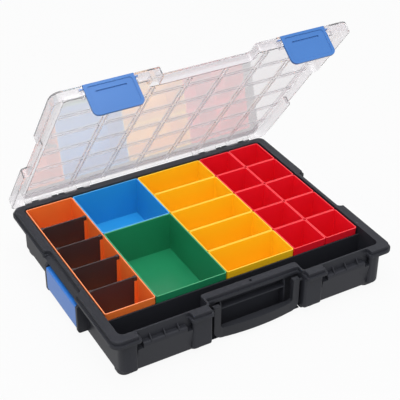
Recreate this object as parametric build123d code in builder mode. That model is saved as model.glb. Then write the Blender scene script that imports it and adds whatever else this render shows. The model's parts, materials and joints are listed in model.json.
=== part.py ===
from build123d import *
import math
import os

# Compartment storage box with lift-out bins, modelled with its lid standing open.
# Millimetres, +Z up, +Y from the handle to the hinges. The origin is the middle of
# the footprint, on the surface that the box stands on.

# Bins
cell = 54.0
row_count = 5
orange_width = 74.0
bin_height = 62.0
bin_wall = 1.4
bin_floor = 1.6
bin_gap = 0.6
bin_corner = 3.0
bin_draft = 1.0
bin_floor_fillet = 1.2

# Dividers and their guides in the orange bin
divider_thick = 1.8
divider_drop = 0.8
divider_fit = 0.3
head_height = 6.0
head_length = 5.0
head_thick = 4.4
guide_reach = 4.2
guide_thick = 1.5

# Tray
foot_height = 2.3
floor_thick = 1.6
seat_gap = 0.3
wall = 2.5
side_room = 2.0
back_room = 1.5
trough = 47.0
rim_over_bins = 1.7
rim_overhang = 15.5
side_overhang = 16.2
back_margin = 14.0
rim_step = 5.5
lip_height = 4.0
lip_step = 3.0
rim_plate = 2.6
rim_chamfer = 0.6
corner_radius = 14.0
cavity_corner = 8.0
notch_corner = 4.0
least_corner = 0.5
wall_underside = 3.8
column_base = 8.0
column_size = 34.0
column_bend = 3.5
column_underside = 3.0
front_proud = 7.5
back_proud = 3.0
partition_thick = 2.0
partition_drop = 10.0
partition_gap = 1.0
foot_size = 26.0
foot_corner = 10.0
foot_inset = 9.3
foot_side_inset = 1.0
block_foot_width = 21.5
back_foot_offset = 70.0

# Latch bays in the tray's front
latch_offset = 141.0
bay_width = 79.0
bay_lip_cover = 4.0
bay_ledge_drop = 17.0
bay_ledge_round = 3.0
bay_panel_low_proud = 2.0
gusset_count = 3
gusset_spacing = 20.0
gusset_thick = 1.8
gusset_height = 7.5
pocket_depth = 6.0
pocket_height = 13.0
pocket_drop = 11.5
pocket_wall = 4.0
pocket_reach = 8.0

# Handle recess and handle
recess_setback = 23.3
strip_width = 13.7
strip_hole = 2.0
recess_ledge_reach = 6.0
recess_rib_set = 22.0
recess_rib_thick = 2.0
recess_rib_slope = 8.0
recess_bar_drop = 13.0
recess_bar_height = 2.0
handle_half = 66.5
handle_side_gap = 5.5
arm_width = 10.0
arm_thick = 7.0
handle_drop = 48.0
grip_height = 16.2
grip_proud = 4.0
handle_corner = 14.0
handle_window_corner = 5.0
handle_pivot_drop = 13.8
handle_pivot_set = 9.5
handle_pin_radius = 2.0
handle_pin_set = 6.0

# Lid
lid_angle = 53.2
lid_gap = 0.4
lid_height = 13.6
lid_shell = 2.0
lid_over_rim = 0.5
lid_rim_gap = 0.6
lid_rib_gap = 0.4
lid_rib_width = 7.0
lid_rib_wall = 1.2
lid_panel_inset = 3.0
lid_notch_clear = 3.0
side_notch_depth = 8.2
side_notch_length = 101.0
side_notch_shift = 26.25
chute_reach = 6.0
chute_drop = 4.0
chute_thick = 2.5
chute_root = 2.0
lid_rib_margin = 2.0
lid_chamfer = 0.8
lid_back_clear = 12.0
lid_zone_clear = 3.0
lid_back_reach = 6.0
lid_back_drop = 2.0
latch_boss_length = 2.0
latch_boss_radius = 3.0

# Hinges
hinge_drop = 2.4
hinge_set = 0.5
hinge_swing_gap = 1.2
barrel_radius = 2.8
hinge_pin_radius = 1.5
hinge_zone = 104.0
knuckle_gap = 0.5
inner_knuckle_offset = 5.5
inner_knuckle_width = 8.0
outer_knuckle_offset = 36.0
outer_knuckle_width = 10.0
running_clearance = 0.05
press_interference = 0.01

# Latches
latch_width = 68.5
latch_height = 43.0
latch_thick = 3.0
latch_side_gap = 0.75
latch_swing_gap = 0.5
latch_pivot_in = 4.5
latch_pivot_down = 4.0
latch_barrel = 3.4
latch_pin_radius = 1.25
latch_corner = 8.0
latch_border = 4.0
latch_dish = 0.8
latch_hook_up = 5.0
latch_hook_height = 4.0
latch_hook_gap = 0.7
latch_groove_down = 12.0
latch_groove_length = 42.0
latch_groove_width = 2.2
latch_groove_depth = 1.2

# Side connectors
connector_shift = 36.5
connector_length = 97.0
connector_height = 39.0
connector_plate = 3.0
connector_proud = 2.0
connector_end_gap = 0.5
connector_base = 13.0
connector_barrel = 4.0
connector_pin_radius = 1.5
connector_hood = 13.0
connector_corner = 2.0
cheek_thick = 5.0
cheek_bottom = 10.0
cheek_round = 4.0
cheek_slope = 6.0

# Levels
floor_top = foot_height + floor_thick
bin_bottom = floor_top + seat_gap
bin_top = bin_bottom + bin_height
rim_top = bin_top + rim_over_bins
lip_top = rim_top - rim_step
lip_bottom = lip_top - lip_height
ledge_top = rim_top - bay_ledge_drop
partition_top = bin_top - partition_drop

# Plan sizes: the field is the rectangle of bins
field_half = (orange_width + 6 * cell) / 2
field_depth = row_count * cell
cavity_half = field_half + side_room
wall_half = cavity_half + wall
lip_half = cavity_half + side_overhang
case_depth = rim_overhang + trough + field_depth + back_margin
hinge_reach = hinge_set + barrel_radius
lip_front = -(case_depth + hinge_reach) / 2
lip_back = lip_front + case_depth
cavity_front = lip_front + rim_overhang
field_front = cavity_front + trough
field_back = field_front + field_depth
cavity_back = field_back + back_room
wall_front = cavity_front - wall
wall_back = cavity_back + wall
block_front = wall_front - front_proud
column_back = wall_back + back_proud
recess_half = handle_half + handle_side_gap
recess_rib_offset = recess_half - recess_rib_set
strip_front = lip_front + recess_setback
recess_cavity_front = strip_front + strip_width
recess_wall_front = recess_cavity_front - wall
connector_middle = (field_front + field_back) / 2 - connector_shift
hinge_y = lip_back + hinge_set
hinge_z = rim_top - hinge_drop
bay_low = latch_offset - bay_width / 2
bay_high = latch_offset + bay_width / 2
side_notch_middle = (field_front + field_back) / 2 - side_notch_shift
notch_low = side_notch_middle - side_notch_length / 2
notch_high = side_notch_middle + side_notch_length / 2
chute_start = lip_half - side_notch_depth
ridge_half = latch_offset - hinge_zone / 2
hinge_cut = hinge_y - barrel_radius - hinge_swing_gap
column_lines = [-field_half + orange_width + index * cell for index in range(6)]
row_lines = [field_front + index * cell for index in range(row_count)]
beyond = 400.0
closeness = 0.01

# Levels of the lid and the latches when the lid is closed
lid_bottom = lip_top + lid_gap
lid_top = lid_bottom + lid_height
lid_panel_bottom = rim_top + lid_over_rim
lid_panel_top = lid_panel_bottom + lid_shell
lid_rib_bottom = bin_top + lid_rib_gap
latch_bottom = lid_top - latch_height
latch_pivot_y = lip_front + latch_pivot_in
latch_pivot_z = lid_top - latch_pivot_down
latch_notch_half = latch_width / 2 + latch_side_gap
latch_notch_back = latch_pivot_y + math.hypot(latch_pivot_in, latch_pivot_down) + latch_swing_gap

# Handle and connector places
handle_pivot_y = block_front + handle_pivot_set
handle_pivot_z = rim_top - handle_pivot_drop
handle_front = handle_pivot_y - arm_thick / 2
grip_bottom = handle_pivot_z - handle_drop
connector_outer = lip_half + connector_proud
connector_pivot_x = connector_outer - connector_barrel
connector_pivot_z = connector_base + connector_barrel
connector_top = connector_base + connector_height
connector_end = connector_length / 2 + connector_end_gap
cheek_front = connector_middle - connector_end - cheek_thick
cheek_back = connector_middle + connector_end + cheek_thick

# The open lid's frame: its coordinates are those of the closed lid
lid_turn = math.radians(lid_angle)
lid_frame = Plane(
    origin=(
        0,
        hinge_y - hinge_y * math.cos(lid_turn) - hinge_z * math.sin(lid_turn),
        hinge_z + hinge_y * math.sin(lid_turn) - hinge_z * math.cos(lid_turn),
    ),
    x_dir=(1, 0, 0),
    z_dir=(0, math.sin(lid_turn), math.cos(lid_turn)),
)


def square_to_x(x, frame=Plane.XY):
    """The plane across a frame at x, with its axes along the depth and the height."""
    origin = frame.from_local_coords((x, 0, 0))
    return Plane(origin=origin, x_dir=frame.y_dir, z_dir=frame.x_dir)


def facing_front(y, frame=Plane.XY):
    """The plane that faces the front of a frame at y, with its axes along X and up."""
    origin = frame.from_local_coords((0, y, 0))
    return Plane(origin=origin, x_dir=frame.x_dir, z_dir=-frame.y_dir)


def mirrored(x_low, x_high, y_low, y_high):
    """The same rectangle on both sides of the middle."""
    return [(x_low, x_high, y_low, y_high), (-x_high, -x_low, y_low, y_high)]


def shrunk(notch, grow):
    """A notch as it becomes when the outline around it grows."""
    x_low, x_high, y_low, y_high = notch
    return (x_low + grow, x_high - grow, y_low + grow, y_high - grow)


def mouth_corners(half, front, back, notch):
    """The corners at which a notch opens through the edge of an outline."""
    x_low, x_high, y_low, y_high = notch
    corners = []
    if y_low < front:
        corners += [(x_low, front), (x_high, front)]
    if y_high > back:
        corners += [(x_low, back), (x_high, back)]
    if x_high > half:
        corners += [(half, y_low), (half, y_high)]
    if x_low < -half:
        corners += [(-half, y_low), (-half, y_high)]
    return corners


def plan(half, front, back, corner, notches, grow=0.0, bend=notch_corner, square=()):
    """An outline of the case from above, grown evenly, less rounded and square notches."""
    half, front, back = half + grow, front - grow, back + grow
    corners = []
    with BuildSketch() as outline:
        with Locations((0, (front + back) / 2)):
            RectangleRounded(2 * half, back - front, corner + grow)
        for notch in notches:
            x_low, x_high, y_low, y_high = shrunk(notch, grow)
            corners += mouth_corners(half, front, back, (x_low, x_high, y_low, y_high))
            with Locations(((x_low + x_high) / 2, (y_low + y_high) / 2)):
                RectangleRounded(
                    x_high - x_low,
                    y_high - y_low,
                    max(bend - grow, least_corner),
                    mode=Mode.SUBTRACT,
                )
        mouths = [
            vertex
            for vertex in outline.vertices()
            if min(math.dist((vertex.X, vertex.Y), corner) for corner in corners) < closeness
        ]
        fillet(mouths, max(bend + grow, least_corner))
        for notch in square:
            x_low, x_high, y_low, y_high = shrunk(notch, grow)
            with Locations(((x_low + x_high) / 2, (y_low + y_high) / 2)):
                Rectangle(x_high - x_low, y_high - y_low, mode=Mode.SUBTRACT)
    return outline.sketch


def raise_plan(outline, z_low, z_high, frame=Plane.XY, mode=Mode.ADD):
    """Extrude an outline from one level of a frame to another."""
    with BuildSketch(frame.offset(z_low)) as placed:
        add(outline)
    extrude(placed.sketch, amount=z_high - z_low, mode=mode)


def block(x_low, x_high, y_low, y_high, z_low, z_high, frame=Plane.XY, mode=Mode.ADD):
    """A block given by its ranges in a frame."""
    with BuildSketch(frame.offset(z_low)) as base:
        with Locations(((x_low + x_high) / 2, (y_low + y_high) / 2)):
            Rectangle(x_high - x_low, y_high - y_low)
    extrude(base.sketch, amount=z_high - z_low, mode=mode)


def twin_blocks(x_low, x_high, y_low, y_high, z_low, z_high, frame=Plane.XY, mode=Mode.ADD):
    """The same block on both sides of the middle."""
    for low, high, front, back in mirrored(x_low, x_high, y_low, y_high):
        block(low, high, front, back, z_low, z_high, frame, mode)


def rod(start, end, radius, frame=Plane.XY, mode=Mode.ADD):
    """A round bar between two points of a frame."""
    low = frame.from_local_coords(start)
    high = frame.from_local_coords(end)
    with BuildSketch(Plane(origin=low, z_dir=high - low)) as circle:
        Circle(radius)
    extrude(circle.sketch, amount=(high - low).length, mode=mode)


def profile_across(x_low, x_high, points, frame=Plane.XY):
    """A bar between x_low and x_high whose section goes through points of depth and height."""
    with BuildSketch(square_to_x(x_low, frame)) as section:
        with BuildLine():
            Polyline(*points, close=True)
        make_face()
    extrude(section.sketch, amount=x_high - x_low)


def slab(points, y_low, y_high):
    """A slab between two depths whose face goes through points of X and height."""
    with BuildSketch(facing_front(y_high)) as face:
        with BuildLine():
            Polyline(*points, close=True)
        make_face()
    extrude(face.sketch, amount=y_high - y_low)


def save(part, name):
    part.label = name
    export_step(part, f"parts/{name}.step")


# Outlines that the tray and the lid share
bay_notches = mirrored(bay_low, bay_high, -beyond, wall_front)
bay_lip_notches = mirrored(
    bay_low + bay_lip_cover, bay_high - bay_lip_cover, -beyond, wall_front
)
side_notches = mirrored(chute_start, beyond, notch_low, notch_high)
hinge_zones = mirrored(
    latch_offset - hinge_zone / 2, latch_offset + hinge_zone / 2, hinge_cut, beyond
)
recess_notch = (-recess_half, recess_half, -beyond, recess_wall_front)
strip_notch = (-recess_half, recess_half, -beyond, strip_front)


def rim_outline(grow):
    """The tray's lower lip, or an outline inside it."""
    notches = [strip_notch] + bay_lip_notches + side_notches
    return plan(lip_half, lip_front, lip_back, corner_radius, notches, grow)


def column_outline():
    """The walls with the corner columns and the handle blocks."""
    column_inner = wall_half - column_size
    back_gap = (-column_inner, column_inner, wall_back, beyond)
    return plan(
        wall_half,
        block_front,
        column_back,
        corner_radius,
        [recess_notch] + bay_notches,
        bend=column_bend,
        square=[back_gap],
    )


def wall_outline(grow=0.0):
    """The outside of the walls."""
    corner = cavity_corner + wall
    return plan(wall_half, wall_front, wall_back, corner, [recess_notch], grow)


def cavity_outline(grow=0.0):
    """The inside of the walls."""
    reach = recess_half + wall
    notch = (-reach, reach, -beyond, recess_cavity_front)
    return plan(cavity_half, cavity_front, cavity_back, cavity_corner, [notch], grow)


def base_knuckle(x_low, x_high):
    """A hinge barrel on its block at the back of the rim."""
    block(x_low, x_high, wall_back, hinge_y + barrel_radius, lip_bottom, hinge_z)
    rod((x_low, hinge_y, hinge_z), (x_high, hinge_y, hinge_z), barrel_radius)


def gusset(x):
    """A triangular web on the ledge of a latch bay."""
    points = [
        (wall_front, ledge_top - bay_ledge_round),
        (block_front, ledge_top - bay_ledge_round),
        (block_front, ledge_top),
        (wall_front, ledge_top + gusset_height),
    ]
    profile_across(x - gusset_thick / 2, x + gusset_thick / 2, points)


def bay_panel(x_low, x_high):
    """The panel under a latch bay, which slopes back below its rounded ledge."""
    with BuildSketch(square_to_x(x_low)) as section:
        with BuildLine():
            Polyline(
                (wall_front, column_base),
                (wall_front, ledge_top),
                (block_front, ledge_top),
                (block_front, ledge_top - 2 * bay_ledge_round),
                (wall_front - bay_panel_low_proud, column_base),
                close=True,
            )
        panel = make_face()
        edge = panel.vertices().group_by(Axis.Y)[-1].sort_by(Axis.X)[0]
        fillet(edge, bay_ledge_round)
    extrude(section.sketch, amount=x_high - x_low)


def cheek(side, y_low):
    """A cheek that carries one end of a side connector's pin."""
    with BuildSketch(facing_front(y_low + cheek_thick)) as section:
        with BuildLine():
            Polyline(
                (side * wall_half, cheek_bottom),
                (side * connector_outer, cheek_bottom),
                (side * connector_outer, connector_top),
                (side * (connector_outer - cheek_slope), lip_bottom),
                (side * wall_half, lip_bottom),
                close=True,
            )
        face = make_face()
        outer = face.vertices().group_by(Axis.Y)[0].sort_by(Axis.X)
        fillet(outer[-1] if side > 0 else outer[0], cheek_round)
    extrude(section.sketch, amount=cheek_thick)


# Base tray
with BuildSketch() as groove:
    add(rim_outline(-lip_step - rim_plate))
    add(column_outline(), mode=Mode.SUBTRACT)

with BuildPart() as case_walls:
    raise_plan(wall_outline(), foot_height, rim_top)
    fillet(case_walls.faces().sort_by(Axis.Z)[0].edges(), wall_underside)

with BuildPart() as columns:
    raise_plan(column_outline(), column_base, lip_top)
    fillet(columns.faces().sort_by(Axis.Z)[0].edges(), column_underside)

with BuildPart() as base_tray:
    raise_plan(rim_outline(-lip_step), lip_top, rim_top)
    chamfer(base_tray.faces().sort_by(Axis.Z)[-1].edges(), rim_chamfer)
    for low, high, front, back in hinge_zones:
        block(low, high, front, back, lip_top, rim_top, mode=Mode.SUBTRACT)
    raise_plan(rim_outline(0.0), lip_bottom, lip_top)
    raise_plan(groove.sketch, lip_bottom, rim_top - rim_plate, mode=Mode.SUBTRACT)
    add(columns.part)
    add(case_walls.part)
    for low, high, front, back in bay_notches:
        bay_panel(low, high)
    raise_plan(cavity_outline(), floor_top, rim_top, mode=Mode.SUBTRACT)

    # Ridge between the hinges, which fills the rim's step
    block(
        -ridge_half,
        ridge_half,
        lip_back - lip_step - rim_plate,
        lip_back,
        lip_top,
        rim_top,
    )

    # Webs and catch pockets in the latch bays
    for centre in (-latch_offset, latch_offset):
        for index in range(gusset_count):
            gusset(centre + (index - (gusset_count - 1) / 2) * gusset_spacing)
    for low, high, front_wall in (
        (bay_low - pocket_depth, bay_low, pocket_wall),
        (bay_low, bay_low + pocket_reach, 0.0),
        (bay_high - pocket_reach, bay_high, 0.0),
        (bay_high, bay_high + pocket_depth, pocket_wall),
    ):
        twin_blocks(
            low,
            high,
            block_front + front_wall,
            wall_front,
            rim_top - pocket_drop - pocket_height,
            rim_top - pocket_drop,
            mode=Mode.SUBTRACT,
        )

    # Partition behind the trough
    block(
        -cavity_half,
        cavity_half,
        field_front - partition_gap - partition_thick,
        field_front - partition_gap,
        floor_top,
        partition_top,
    )

    # Handle recess: ledge, webs, the bar between them and the hole in the strip
    block(
        -recess_half,
        recess_half,
        strip_front - recess_ledge_reach,
        recess_wall_front + wall_underside,
        foot_height,
        floor_top,
    )
    rib_points = [
        (recess_wall_front, floor_top),
        (strip_front, floor_top),
        (strip_front, lip_bottom - recess_rib_slope),
        (strip_front + lip_step, lip_bottom),
        (recess_wall_front, lip_bottom),
    ]
    for middle in (-recess_rib_offset, recess_rib_offset):
        half_thick = recess_rib_thick / 2
        profile_across(middle - half_thick, middle + half_thick, rib_points)
    bar_top = lip_bottom - recess_bar_drop
    block(
        -recess_rib_offset,
        recess_rib_offset,
        strip_front,
        recess_wall_front,
        bar_top - recess_bar_height,
        bar_top,
    )
    hole_y = (strip_front + lip_step + rim_plate + recess_wall_front) / 2
    rod((0, hole_y, lip_bottom), (0, hole_y, rim_top), strip_hole, mode=Mode.SUBTRACT)

    # Sloping flanges in the side notches
    for side in (-1, 1):
        chute = [
            (side * (chute_start - chute_root), lip_top),
            (side * chute_start, lip_top),
            (side * (chute_start + chute_reach), lip_top - chute_drop),
            (side * (chute_start + chute_reach), lip_top - chute_drop - chute_thick),
            (side * (chute_start - chute_root), lip_top - chute_thick),
        ]
        slab(chute, notch_low - chute_root, notch_high + chute_root)

    # Cheeks that carry the side connectors
    for y_low in (cheek_front, cheek_back - cheek_thick):
        for side in (-1, 1):
            cheek(side, y_low)

    # Feet
    foot_x = wall_half - foot_side_inset - foot_size / 2
    foot_front = block_front + foot_inset + foot_size / 2
    foot_back = column_back - foot_inset - foot_size / 2
    with BuildSketch() as feet:
        with GridLocations(2 * foot_x, foot_back - foot_front, 2, 2):
            with Locations((0, (foot_front + foot_back) / 2)):
                RectangleRounded(foot_size, foot_size, foot_corner)
        block_foot_x = bay_low - foot_side_inset - block_foot_width / 2
        for side in (-1, 1):
            with Locations((side * block_foot_x, foot_front)):
                RectangleRounded(block_foot_width, foot_size, foot_corner)
        with Locations((-back_foot_offset, foot_back), (back_foot_offset, foot_back)):
            RectangleRounded(foot_size, foot_size, foot_corner)
    extrude(amount=foot_height + floor_thick / 2)

    # Hinge knuckles
    for centre in (-latch_offset, latch_offset):
        for side in (-1, 1):
            for offset, width in (
                (inner_knuckle_offset, inner_knuckle_width),
                (outer_knuckle_offset, outer_knuckle_width),
            ):
                middle = centre + side * offset
                base_knuckle(middle - width / 2, middle + width / 2)

    # Bores, a press fit on their pins
    rod(
        (-lip_half, hinge_y, hinge_z),
        (lip_half, hinge_y, hinge_z),
        hinge_pin_radius - press_interference,
        mode=Mode.SUBTRACT,
    )
    for side in (-1, 1):
        rod(
            (side * handle_half, handle_pivot_y, handle_pivot_z),
            (side * (recess_half + handle_pin_set), handle_pivot_y, handle_pivot_z),
            handle_pin_radius - press_interference,
            mode=Mode.SUBTRACT,
        )
        rod(
            (side * connector_pivot_x, cheek_front, connector_pivot_z),
            (side * connector_pivot_x, cheek_back, connector_pivot_z),
            connector_pin_radius - press_interference,
            mode=Mode.SUBTRACT,
        )


# Lid
lid_recess = (lid_notch_clear - recess_half, recess_half - lid_notch_clear, -beyond, strip_front)
latch_notches = mirrored(
    latch_offset - latch_notch_half, latch_offset + latch_notch_half, -beyond, latch_notch_back
)


def lid_outline(grow=0.0):
    """The outside of the lid's skirt, or an outline inside it."""
    return plan(
        lip_half,
        lip_front,
        lip_back,
        corner_radius,
        [lid_recess] + side_notches,
        grow,
        square=latch_notches + hinge_zones,
    )


def lid_knuckle(x_low, x_high):
    """A hinge barrel with the arm that joins it to the lid."""
    arm_start = hinge_cut - lid_shell
    points = [
        (arm_start, lid_panel_bottom),
        (arm_start, lid_top - lid_shell),
        (hinge_y, hinge_z + barrel_radius),
        (hinge_y, hinge_z),
        (hinge_cut, lid_panel_bottom),
    ]
    profile_across(x_low, x_high, points, lid_frame)
    rod((x_low, hinge_y, hinge_z), (x_high, hinge_y, hinge_z), barrel_radius, lid_frame)


def rib_bands(width):
    """Bands of one width over the gaps between the bins."""
    with BuildSketch() as bands:
        for x in column_lines:
            with Locations((x, (cavity_front + cavity_back) / 2)):
                Rectangle(width, cavity_back - cavity_front)
        for y in row_lines:
            with Locations((0, y)):
                Rectangle(2 * cavity_half, width)
    return bands.sketch


with BuildSketch() as lid_ribs:
    add(rib_bands(lid_rib_width))
    add(cavity_outline(-lid_panel_inset - lid_rib_margin), mode=Mode.INTERSECT)
    add(rib_bands(lid_rib_width - 2 * lid_rib_wall), mode=Mode.SUBTRACT)

with BuildPart() as lid_cover:
    raise_plan(lid_outline(), lid_bottom, lid_top, lid_frame)
    lid_up = Axis(lid_frame.origin, lid_frame.z_dir)
    chamfer(lid_cover.faces().sort_by(lid_up)[-1].edges(), lid_chamfer)
    raise_plan(
        lid_outline(-lid_shell), lid_bottom, lid_top - lid_shell, lid_frame, Mode.SUBTRACT
    )
    raise_plan(
        cavity_outline(-lid_panel_inset), lid_panel_bottom, lid_top - lid_shell, lid_frame
    )
    raise_plan(
        cavity_outline(-lid_panel_inset - lid_shell),
        lid_panel_top,
        lid_top,
        lid_frame,
        Mode.SUBTRACT,
    )

    # Room for the tray's walls, and for the rim as the lid turns
    with BuildSketch() as relief:
        add(wall_outline(lid_rim_gap))
        with Locations((0, strip_front)):
            Rectangle(2 * recess_half, 2 * (lip_step - lid_rim_gap), mode=Mode.SUBTRACT)
    raise_plan(relief.sketch, lid_bottom, lid_panel_bottom, lid_frame, Mode.SUBTRACT)
    block(
        -lip_half,
        lip_half,
        hinge_y - lid_back_reach,
        hinge_y,
        lid_bottom,
        hinge_z - lid_back_drop,
        lid_frame,
        Mode.SUBTRACT,
    )
    zone_reach = latch_offset + hinge_zone / 2 + lid_zone_clear
    block(
        -zone_reach,
        zone_reach,
        hinge_y - lid_back_clear,
        hinge_y,
        lid_bottom,
        lid_panel_bottom,
        lid_frame,
        Mode.SUBTRACT,
    )
    raise_plan(lid_ribs.sketch, lid_rib_bottom, lid_panel_top, lid_frame)

    # Hinge knuckles between those of the tray
    for centre in (-latch_offset, latch_offset):
        for low, high in (
            (
                inner_knuckle_offset + inner_knuckle_width / 2 + knuckle_gap,
                outer_knuckle_offset - outer_knuckle_width / 2 - knuckle_gap,
            ),
            (
                outer_knuckle_offset + outer_knuckle_width / 2 + knuckle_gap,
                hinge_zone / 2 - knuckle_gap,
            ),
        ):
            lid_knuckle(centre + low, centre + high)
            lid_knuckle(centre - high, centre - low)
    rod(
        (-lip_half, hinge_y, hinge_z),
        (lip_half, hinge_y, hinge_z),
        hinge_pin_radius + running_clearance,
        lid_frame,
        Mode.SUBTRACT,
    )

    # Bosses that hold the latch pins
    boss_reach = latch_notch_half + lid_shell + latch_boss_length
    for centre in (-latch_offset, latch_offset):
        for side in (-1, 1):
            start = (centre + side * latch_notch_half, latch_pivot_y, latch_pivot_z)
            end = (centre + side * boss_reach, latch_pivot_y, latch_pivot_z)
            rod(start, end, latch_boss_radius, lid_frame)
            rod(start, end, latch_pin_radius - press_interference, lid_frame, Mode.SUBTRACT)


def latch(centre):
    """A latch plate with its barrel and the hook bar on its inner side."""
    low = centre - latch_width / 2
    high = centre + latch_width / 2
    plate_inner = lip_front + latch_thick
    middle_z = lid_top - latch_height / 2
    bar_half = latch_width / 2 - latch_corner
    bar_bottom = latch_bottom + latch_hook_up
    with BuildPart() as part:
        with BuildSketch(facing_front(plate_inner, lid_frame)):
            with Locations((centre, middle_z)):
                plate = Rectangle(latch_width, latch_height)
            fillet(plate.vertices().group_by(Axis.Y)[0], latch_corner)
        extrude(amount=latch_thick)
        rod(
            (low, latch_pivot_y, latch_pivot_z),
            (high, latch_pivot_y, latch_pivot_z),
            latch_barrel,
            lid_frame,
        )
        block(
            centre - bar_half,
            centre + bar_half,
            plate_inner,
            block_front - latch_hook_gap,
            bar_bottom,
            bar_bottom + latch_hook_height,
            lid_frame,
        )
        with BuildSketch(facing_front(lip_front + latch_dish, lid_frame)):
            with Locations((centre, middle_z)):
                RectangleRounded(
                    latch_width - 2 * latch_border,
                    latch_height - 2 * latch_border,
                    latch_corner - latch_border,
                )
        extrude(amount=latch_dish, mode=Mode.SUBTRACT)
        with BuildSketch(facing_front(lip_front + latch_dish + latch_groove_depth, lid_frame)):
            with Locations((centre, lid_top - latch_groove_down)):
                SlotOverall(latch_groove_length, latch_groove_width)
        extrude(amount=latch_groove_depth, mode=Mode.SUBTRACT)
        rod(
            (low, latch_pivot_y, latch_pivot_z),
            (high, latch_pivot_y, latch_pivot_z),
            latch_pin_radius + running_clearance,
            lid_frame,
            Mode.SUBTRACT,
        )
    return part.part


# Carry handle
with BuildPart() as carry_handle:
    with BuildSketch(facing_front(handle_pivot_y + arm_thick / 2)):
        arm_top = handle_pivot_z + arm_width / 2
        with Locations((0, (grip_bottom + arm_top) / 2)):
            bail = Rectangle(2 * handle_half, arm_top - grip_bottom)
        fillet(bail.vertices().group_by(Axis.Y)[0], handle_corner)
        window_bottom = grip_bottom + grip_height
        window_half = handle_half - arm_width
        with BuildSketch(mode=Mode.SUBTRACT):
            with Locations((0, (window_bottom + arm_top) / 2)):
                window = Rectangle(2 * window_half, arm_top - window_bottom)
            fillet(window.vertices().group_by(Axis.Y)[0], handle_window_corner)
    extrude(amount=arm_thick)
    with BuildSketch(Plane.XY.offset(grip_bottom)):
        bow_half = handle_half - handle_corner
        with BuildLine():
            Line((-bow_half, handle_front), (bow_half, handle_front))
            ThreePointArc(
                (bow_half, handle_front), (0, handle_front - grip_proud), (-bow_half, handle_front)
            )
        make_face()
    extrude(amount=grip_height)
    for side in (-1, 1):
        rod(
            (side * window_half, handle_pivot_y, handle_pivot_z),
            (side * handle_half, handle_pivot_y, handle_pivot_z),
            handle_pin_radius + running_clearance,
            mode=Mode.SUBTRACT,
        )


def connector(side):
    """A side connector: an upright plate with a barrel below and a hood that turns inwards."""
    with BuildPart() as part:
        with BuildSketch(facing_front(connector_middle + connector_length / 2)):
            with BuildLine():
                Polyline(
                    (side * connector_outer, connector_pivot_z),
                    (side * connector_outer, connector_top),
                    (side * (connector_outer - connector_hood), connector_top),
                    (side * (connector_outer - connector_hood), connector_top - connector_plate),
                    (side * (connector_outer - connector_plate), connector_top - connector_plate),
                    (side * (connector_outer - connector_plate), connector_pivot_z),
                    close=True,
                )
            profile = make_face()
            fillet(profile.vertices().group_by(Axis.Y)[-1], connector_corner)
            with Locations((side * connector_pivot_x, connector_pivot_z)):
                Circle(connector_barrel)
        extrude(amount=connector_length)
        rod(
            (side * connector_pivot_x, connector_middle - connector_end, connector_pivot_z),
            (side * connector_pivot_x, connector_middle + connector_end, connector_pivot_z),
            connector_pin_radius + running_clearance,
            mode=Mode.SUBTRACT,
        )
    return part.part


def pin(start, end, radius, frame=Plane.XY):
    """A plain steel pin."""
    with BuildPart() as part:
        rod(start, end, radius, frame)
    return part.part


def bin_shell(x_low, x_high, y_low, y_high):
    """An open bin that fills a rectangle of the field and tapers downwards."""
    top = Plane(origin=((x_low + x_high) / 2, (y_low + y_high) / 2, bin_top))
    width = x_high - x_low - bin_gap
    depth = y_high - y_low - bin_gap
    with BuildPart() as shell:
        with BuildSketch(top):
            RectangleRounded(width, depth, bin_corner)
        extrude(amount=-bin_height, taper=bin_draft)
        fillet(shell.faces().sort_by(Axis.Z)[0].edges(), bin_floor_fillet)
        with BuildSketch(top):
            RectangleRounded(width - 2 * bin_wall, depth - 2 * bin_wall, bin_corner - bin_wall)
        extrude(amount=-(bin_height - bin_floor), taper=bin_draft, mode=Mode.SUBTRACT)
    return shell.part


# Orange bin: the bin form with pairs of guides on its long walls
divider_top = bin_top - divider_drop
guide_top = divider_top - head_height - seat_gap
slot_half = divider_thick / 2 + divider_fit
orange_left = -field_half
orange_middle = orange_left + orange_width / 2
divider_lines = row_lines[1:]


def orange_inner_half(z):
    """Half the width between the orange bin's long inner walls at a height."""
    draft = math.tan(math.radians(bin_draft))
    return (orange_width - bin_gap) / 2 - bin_wall - (bin_top - z) * draft


def guide_section(x_sign, z_low, z_high, reach, sink):
    """A drafted section that lies along a long wall of the orange bin."""
    return [
        (orange_middle + x_sign * (orange_inner_half(z_low) + sink), z_low),
        (orange_middle + x_sign * (orange_inner_half(z_high) + sink), z_high),
        (orange_middle + x_sign * (orange_inner_half(z_high) - reach), z_high),
        (orange_middle + x_sign * (orange_inner_half(z_low) - reach), z_low),
    ]


with BuildPart() as orange_bin:
    add(bin_shell(orange_left, orange_left + orange_width, field_front, field_back))
    guide_low = bin_bottom + bin_floor / 2
    for y in divider_lines:
        for x_sign in (-1, 1):
            section = guide_section(x_sign, guide_low, guide_top, guide_reach, bin_wall / 2)
            slab(section, y - slot_half - guide_thick, y - slot_half)
            slab(section, y + slot_half, y + slot_half + guide_thick)


def divider(y):
    """A divider plate with a head at each end, which rests on the guides."""
    low = bin_bottom + bin_floor + seat_gap
    high_half = orange_inner_half(divider_top) - divider_fit
    low_half = orange_inner_half(low) - divider_fit
    with BuildPart() as part:
        plate = [
            (orange_middle - low_half, low),
            (orange_middle - high_half, divider_top),
            (orange_middle + high_half, divider_top),
            (orange_middle + low_half, low),
        ]
        slab(plate, y - divider_thick / 2, y + divider_thick / 2)
        for x_sign in (-1, 1):
            head = guide_section(
                x_sign, divider_top - head_height, divider_top, head_length, -divider_fit
            )
            slab(head, y - head_thick / 2, y + head_thick / 2)
    return part.part


# Write every piece
os.makedirs("parts", exist_ok=True)
save(base_tray.part, "base_tray")
save(lid_cover.part, "lid_cover")
save(carry_handle.part, "carry_handle")
save(orange_bin.part, "orange_bin")

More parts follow.
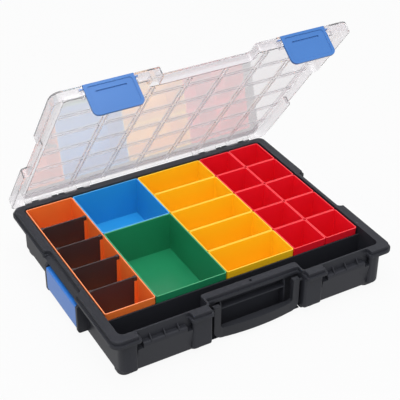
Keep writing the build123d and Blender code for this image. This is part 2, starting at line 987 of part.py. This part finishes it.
for side, name in ((-1, "left"), (1, "right")):
    centre = side * latch_offset
    save(latch(centre), f"latch_{name}")
    save(
        pin(
            (centre - boss_reach, latch_pivot_y, latch_pivot_z),
            (centre + boss_reach, latch_pivot_y, latch_pivot_z),
            latch_pin_radius,
            lid_frame,
        ),
        f"latch_pin_{name}",
    )
    save(
        pin(
            (centre - hinge_zone / 2, hinge_y, hinge_z),
            (centre + hinge_zone / 2, hinge_y, hinge_z),
            hinge_pin_radius,
        ),
        f"hinge_pin_{name}",
    )
    save(
        pin(
            (side * window_half, handle_pivot_y, handle_pivot_z),
            (side * (recess_half + handle_pin_set), handle_pivot_y, handle_pivot_z),
            handle_pin_radius,
        ),
        f"handle_pin_{name}",
    )
    save(connector(side), f"connector_{name}")
    save(
        pin(
            (side * connector_pivot_x, cheek_front, connector_pivot_z),
            (side * connector_pivot_x, cheek_back, connector_pivot_z),
            connector_pin_radius,
        ),
        f"connector_pin_{name}",
    )

for index, y in enumerate(divider_lines):
    save(divider(y), f"divider_{index + 1}")

# Bins to the right of the orange one, by the column and row that each begins in
row_ends = row_lines + [field_back]
save(bin_shell(column_lines[0], column_lines[2], row_ends[3], row_ends[5]), "blue_bin")
save(bin_shell(column_lines[0], column_lines[2], row_ends[0], row_ends[3]), "green_bin")
for row in range(row_count):
    front, back = row_ends[row], row_ends[row + 1]
    save(bin_shell(column_lines[2], column_lines[4], front, back), f"yellow_bin_{row + 1}")
    for column in (0, 1):
        left = column_lines[4] + column * cell
        name = f"red_bin_{row * 2 + column + 1}"
        save(bin_shell(left, left + cell, front, back), name)
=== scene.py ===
import json
import math

import bpy
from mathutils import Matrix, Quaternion, Vector


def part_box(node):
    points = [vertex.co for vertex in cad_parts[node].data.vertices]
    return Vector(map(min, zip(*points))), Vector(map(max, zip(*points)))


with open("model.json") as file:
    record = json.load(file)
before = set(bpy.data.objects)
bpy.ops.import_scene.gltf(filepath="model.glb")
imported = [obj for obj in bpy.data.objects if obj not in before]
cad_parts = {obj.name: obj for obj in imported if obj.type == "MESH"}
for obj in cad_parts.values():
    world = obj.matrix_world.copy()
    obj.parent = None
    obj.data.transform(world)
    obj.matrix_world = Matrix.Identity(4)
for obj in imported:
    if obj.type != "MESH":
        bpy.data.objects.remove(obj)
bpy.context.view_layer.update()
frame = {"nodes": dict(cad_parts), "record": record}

# A compartment storage box: a charcoal tray with a clear hinged lid that stands open, blue
# latches and side connectors, a folding handle and coloured lift-out bins. Metres, +Z up.

# Places read from the frame
pieces = frame["nodes"]
slot_of_piece = {part["node"]: part["material_slot"] for part in frame["record"]["subparts"]}
bin_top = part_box("green_bin")[1][2]

# The photograph's view
VIEW_AZIMUTH = -29.85
VIEW_ELEVATION = 33.762
VIEW_ROLL = 0.45
VIEW_DISTANCE = 1.5832
VIEW_TARGET = Vector((0.03743, 0.05814, bin_top))
LENS = 96.2
SENSOR = 36.0

# Moulded plastic
GRAIN_PER_METRE = 1800.0
GRAIN_DETAIL = 3.0
GRAIN_DEPTH = 0.00002
DRIFT_PER_METRE = 14.0
DRIFT_DETAIL = 2.0
EDGE_SAMPLES = 4
BIN_EDGE = 0.0006
# How far below the bins' top edge the painted rim highlight fades out
BIN_RIM_HIGHLIGHT_FADE = 0.0006
BIN_ROUGHNESS = 0.32
BIN_SHINE = 0.5
BLUE_PART_ROUGHNESS = 0.36
DIVIDER_ROUGHNESS = 0.36
TRAY_EDGE = 0.0012
TRAY_ROUGHNESS = 0.5
TRAY_SHINE = 0.2
HANDLE_ROUGHNESS = 0.45

# Clear lid and steel pins
LID_EDGE = 0.0012
LID_TRANSMISSION = 0.93
LID_IOR = 1.16
LID_COAT = 0.55
LID_COAT_ROUGHNESS = 0.05
LID_ROUGHNESS_RANGE = (0.024, 0.056)
PIN_ROUGHNESS_RANGE = (0.2, 0.4)

# Studio
FLOOR_HALF = 6.0
FLOOR_GREY = 0.5
FLOOR_SEEN_WHITE = 0.93
SKY_TINT = (0.95, 0.97, 1.0, 1.0)
SKY_STRENGTH = 0.8
LAMP_AIM = Vector((0, 0, 0.05))


def colour(red, green, blue):
    """A colour given as 0-255 screen values, for a socket."""
    def linear(value):
        share = value / 255
        if share <= 0.04045:
            return share / 12.92
        return ((share + 0.055) / 1.055) ** 2.4
    return (linear(red), linear(green), linear(blue), 1.0)


class Shader:
    """A material or node group under construction, with short calls for its nodes."""

    def __init__(self, tree):
        self.tree = tree

    def node(self, kind, **settings):
        made = self.tree.nodes.new(kind)
        for name, value in settings.items():
            setattr(made, name, value)
        return made

    def link(self, source, target):
        self.tree.links.new(source, target)


def new_group(name, inputs, outputs):
    """A shader node group with float inputs (name, default) and named outputs."""
    tree = bpy.data.node_groups.new(name, "ShaderNodeTree")
    for label, default in inputs:
        socket = tree.interface.new_socket(label, in_out="INPUT", socket_type="NodeSocketFloat")
        socket.default_value = default
    for label, kind in outputs:
        tree.interface.new_socket(label, in_out="OUTPUT", socket_type=kind)
    shader = Shader(tree)
    return shader, shader.node("NodeGroupInput"), shader.node("NodeGroupOutput")


def make_grain_group():
    """Fine moulded texture: a height for bump and a slow drift of shade."""
    shader, given, result = new_group(
        "moulded_grain",
        [("Grain per metre", GRAIN_PER_METRE), ("Drift per metre", DRIFT_PER_METRE)],
        [("Height", "NodeSocketFloat"), ("Drift", "NodeSocketFloat")],
    )
    place = shader.node("ShaderNodeTexCoord")
    grain = shader.node("ShaderNodeTexNoise")
    grain.inputs["Detail"].default_value = GRAIN_DETAIL
    drift = shader.node("ShaderNodeTexNoise")
    drift.inputs["Detail"].default_value = DRIFT_DETAIL
    shader.link(place.outputs["Object"], grain.inputs["Vector"])
    shader.link(place.outputs["Object"], drift.inputs["Vector"])
    shader.link(given.outputs["Grain per metre"], grain.inputs["Scale"])
    shader.link(given.outputs["Drift per metre"], drift.inputs["Scale"])
    shader.link(grain.outputs["Fac"], result.inputs["Height"])
    shader.link(drift.outputs["Fac"], result.inputs["Drift"])
    return shader.tree


def make_rim_highlight_group():
    """How near a point is to the level at which the bins end, as the mask of a painted
    highlight along the bins' rims.
    """
    shader, given, result = new_group(
        "painted_rim_highlight",
        [("Level", 0.0), ("Fade", BIN_RIM_HIGHLIGHT_FADE)],
        [("Mask", "NodeSocketFloat")],
    )
    place = shader.node("ShaderNodeTexCoord")
    split = shader.node("ShaderNodeSeparateXYZ")
    start = shader.node("ShaderNodeMath", operation="SUBTRACT")
    ramp = shader.node("ShaderNodeMapRange", interpolation_type="SMOOTHSTEP")
    shader.link(place.outputs["Object"], split.inputs["Vector"])
    shader.link(given.outputs["Level"], start.inputs[0])
    shader.link(given.outputs["Fade"], start.inputs[1])
    shader.link(split.outputs["Z"], ramp.inputs["Value"])
    shader.link(start.outputs[0], ramp.inputs["From Min"])
    shader.link(given.outputs["Level"], ramp.inputs["From Max"])
    shader.link(ramp.outputs["Result"], result.inputs["Mask"])
    return shader.tree


grain_group = make_grain_group()
rim_highlight_group = make_rim_highlight_group()


def new_material(name):
    material = bpy.data.materials.new(name)
    material.use_nodes = True
    material.node_tree.nodes.clear()
    return material, Shader(material.node_tree)


def new_surface(name):
    """A material, its shader and the plain surface that it begins with."""
    material, shader = new_material(name)
    surface = shader.node("ShaderNodeBsdfPrincipled")
    output = shader.node("ShaderNodeOutputMaterial")
    shader.link(surface.outputs["BSDF"], output.inputs["Surface"])
    return material, shader, surface


def softened_edges(shader, radius):
    """The normal of a surface whose edges are rounded off."""
    edge = shader.node("ShaderNodeBevel", samples=EDGE_SAMPLES)
    edge.inputs["Radius"].default_value = radius
    return edge.outputs["Normal"]


def vary_roughness(shader, surface, ends):
    """Move a surface's roughness between two values with the drift of shade."""
    grain = shader.node("ShaderNodeGroup", node_tree=grain_group)
    spread = shader.node("ShaderNodeMapRange")
    spread.inputs["To Min"].default_value = ends[0]
    spread.inputs["To Max"].default_value = ends[1]
    shader.link(grain.outputs["Drift"], spread.inputs["Value"])
    shader.link(spread.outputs["Result"], surface.inputs["Roughness"])


def moulded_plastic(name, main, shade, roughness, rim_highlight=None, shine=BIN_SHINE, edge=BIN_EDGE):
    """Moulded plastic with softened edges, a drift of shade and, on a bin, a painted highlight:
    a paler band along the rim.
    """
    material, shader, surface = new_surface(name)
    grain = shader.node("ShaderNodeGroup", node_tree=grain_group)
    mix = shader.node("ShaderNodeMix", data_type="RGBA")
    mix.inputs["A"].default_value = shade
    mix.inputs["B"].default_value = main
    bump = shader.node("ShaderNodeBump")
    bump.inputs["Distance"].default_value = GRAIN_DEPTH
    surface.inputs["Roughness"].default_value = roughness
    surface.inputs["Specular IOR Level"].default_value = shine
    shader.link(grain.outputs["Drift"], mix.inputs["Factor"])
    base_colour = mix.outputs["Result"]
    # Painted highlight: a paler colour mixed in just below the bins' top edge stands in for
    # light catching the rim
    if rim_highlight:
        highlight_mask = shader.node("ShaderNodeGroup", node_tree=rim_highlight_group)
        highlight_mask.inputs["Level"].default_value = bin_top
        highlight_mask.inputs["Fade"].default_value = BIN_RIM_HIGHLIGHT_FADE
        highlighted = shader.node("ShaderNodeMix", data_type="RGBA")
        highlighted.inputs["B"].default_value = rim_highlight
        shader.link(highlight_mask.outputs["Mask"], highlighted.inputs["Factor"])
        shader.link(base_colour, highlighted.inputs["A"])
        base_colour = highlighted.outputs["Result"]
    shader.link(base_colour, surface.inputs["Base Color"])
    shader.link(softened_edges(shader, edge), bump.inputs["Normal"])
    shader.link(grain.outputs["Height"], bump.inputs["Height"])
    shader.link(bump.outputs["Normal"], surface.inputs["Normal"])
    return material


def clear_plastic(name, tint):
    """The lid's clear polished plastic."""
    material, shader, surface = new_surface(name)
    surface.inputs["Base Color"].default_value = tint
    surface.inputs["Transmission Weight"].default_value = LID_TRANSMISSION
    surface.inputs["IOR"].default_value = LID_IOR
    surface.inputs["Coat Weight"].default_value = LID_COAT
    surface.inputs["Coat Roughness"].default_value = LID_COAT_ROUGHNESS
    shader.link(softened_edges(shader, LID_EDGE), surface.inputs["Normal"])
    vary_roughness(shader, surface, LID_ROUGHNESS_RANGE)
    return material


def blackened_steel(name, shade):
    """Drawn wire with a black oxide finish."""
    material, shader, surface = new_surface(name)
    surface.inputs["Base Color"].default_value = shade
    surface.inputs["Metallic"].default_value = 1.0
    vary_roughness(shader, surface, PIN_ROUGHNESS_RANGE)
    return material


def bin_plastic(name, main, shade, rim_highlight):
    """A bin's moulded plastic, with a painted highlight that makes it paler where the bin ends.
    """
    return moulded_plastic(name, main, shade, BIN_ROUGHNESS, rim_highlight)


finish = {
    "tray_charcoal": moulded_plastic(
        "tray_charcoal",
        colour(45, 46, 52),
        colour(39, 40, 45),
        TRAY_ROUGHNESS,
        shine=TRAY_SHINE,
        edge=TRAY_EDGE,
    ),
    "handle_charcoal": moulded_plastic(
        "handle_charcoal",
        colour(44, 45, 50),
        colour(38, 39, 43),
        HANDLE_ROUGHNESS,
        shine=TRAY_SHINE,
        edge=TRAY_EDGE,
    ),
    "lid_clear": clear_plastic("lid_clear", colour(240, 238, 240)),
    "latch_blue": moulded_plastic(
        "latch_blue", colour(58, 114, 182), colour(50, 104, 172), BLUE_PART_ROUGHNESS
    ),
    "connector_blue": moulded_plastic(
        "connector_blue", colour(40, 114, 198), colour(34, 104, 186), BLUE_PART_ROUGHNESS
    ),
    # The third colour of each bin is its painted rim highlight
    "bin_orange": bin_plastic(
        "bin_orange", colour(250, 128, 56), colour(244, 116, 46), colour(255, 150, 96)
    ),
    "bin_blue": bin_plastic(
        "bin_blue", colour(42, 152, 216), colour(36, 142, 206), colour(86, 168, 224)
    ),
    "bin_green": bin_plastic(
        "bin_green", colour(32, 134, 90), colour(26, 126, 82), colour(66, 162, 112)
    ),
    "bin_yellow": bin_plastic(
        "bin_yellow", colour(255, 202, 30), colour(255, 196, 20), colour(255, 206, 56)
    ),
    "bin_red": bin_plastic(
        "bin_red", colour(240, 26, 44), colour(232, 18, 36), colour(246, 54, 64)
    ),
    "divider_dark": moulded_plastic(
        "divider_dark", colour(58, 48, 49), colour(50, 42, 44), DIVIDER_ROUGHNESS
    ),
    "pin_steel": blackened_steel("pin_steel", colour(58, 59, 63)),
}

for name, piece in pieces.items():
    piece.data.materials.clear()
    piece.data.materials.append(finish[slot_of_piece[name]])

# Lamp light reaches the bins through the clear lid
pieces["lid_cover"].visible_shadow = False


# Studio: a white floor, soft lamps and white surroundings
def white_seen_directly(shader, lit, white_share):
    """Mix a share of plain white into what camera, mirror and see-through rays meet."""
    path = shader.node("ShaderNodeLightPath")
    glow = shader.node("ShaderNodeEmission")
    glow.inputs["Strength"].default_value = 1.0
    seen = shader.node("ShaderNodeMath", operation="MAXIMUM")
    any_seen = shader.node("ShaderNodeMath", operation="MAXIMUM")
    share = shader.node("ShaderNodeMath", operation="MULTIPLY")
    share.inputs[1].default_value = white_share
    mix = shader.node("ShaderNodeMixShader")
    shader.link(path.outputs["Is Camera Ray"], seen.inputs[0])
    shader.link(path.outputs["Is Glossy Ray"], seen.inputs[1])
    shader.link(seen.outputs[0], any_seen.inputs[0])
    shader.link(path.outputs["Is Transmission Ray"], any_seen.inputs[1])
    shader.link(any_seen.outputs[0], share.inputs[0])
    shader.link(share.outputs[0], mix.inputs["Fac"])
    shader.link(lit, mix.inputs[1])
    shader.link(glow.outputs[0], mix.inputs[2])
    return mix.outputs[0]


def make_floor():
    mesh = bpy.data.meshes.new("floor")
    corners = [
        (-FLOOR_HALF, -FLOOR_HALF, 0),
        (FLOOR_HALF, -FLOOR_HALF, 0),
        (FLOOR_HALF, FLOOR_HALF, 0),
        (-FLOOR_HALF, FLOOR_HALF, 0),
    ]
    mesh.from_pydata(corners, [], [(0, 1, 2, 3)])
    floor = bpy.data.objects.new("floor", mesh)
    bpy.context.scene.collection.objects.link(floor)
    material, shader = new_material("floor_white")
    matte = shader.node("ShaderNodeBsdfDiffuse")
    matte.inputs["Color"].default_value = (FLOOR_GREY, FLOOR_GREY, FLOOR_GREY, 1.0)
    output = shader.node("ShaderNodeOutputMaterial")
    seen = white_seen_directly(shader, matte.outputs[0], FLOOR_SEEN_WHITE)
    shader.link(seen, output.inputs["Surface"])
    mesh.materials.append(material)


def make_world():
    world = bpy.data.worlds.new("studio")
    bpy.context.scene.world = world
    world.use_nodes = True
    world.node_tree.nodes.clear()
    shader = Shader(world.node_tree)
    soft = shader.node("ShaderNodeBackground")
    soft.inputs["Color"].default_value = SKY_TINT
    soft.inputs["Strength"].default_value = SKY_STRENGTH
    output = shader.node("ShaderNodeOutputWorld")
    seen = white_seen_directly(shader, soft.outputs[0], 1.0)
    shader.link(seen, output.inputs["Surface"])


def make_lamp(name, place, size, power):
    light = bpy.data.lights.new(name, "AREA")
    light.shape = "SQUARE"
    light.size = size
    light.energy = power
    lamp = bpy.data.objects.new(name, light)
    bpy.context.scene.collection.objects.link(lamp)
    lamp.location = place
    aim = LAMP_AIM - Vector(place)
    lamp.rotation_euler = aim.to_track_quat("-Z", "Y").to_euler()


def make_camera():
    azimuth = math.radians(VIEW_AZIMUTH)
    elevation = math.radians(VIEW_ELEVATION)
    back = Vector(
        (
            math.sin(azimuth) * math.cos(elevation),
            -math.cos(azimuth) * math.cos(elevation),
            math.sin(elevation),
        )
    )
    data = bpy.data.cameras.new("camera")
    data.lens = LENS
    data.sensor_width = SENSOR
    camera = bpy.data.objects.new("camera", data)
    bpy.context.scene.collection.objects.link(camera)
    camera.location = VIEW_TARGET + back * VIEW_DISTANCE
    roll = Quaternion(back, math.radians(VIEW_ROLL))
    camera.rotation_euler = (roll @ (-back).to_track_quat("-Z", "Y")).to_euler()
    bpy.context.scene.camera = camera


make_floor()
make_world()
make_lamp("overhead", place=(-0.3, -0.3, 2.4), size=1.8, power=34.0)
make_lamp("key", place=(-1.2, -1.6, 2.0), size=1.2, power=9.0)
make_camera()

bpy.context.scene.view_settings.view_transform = "Standard"
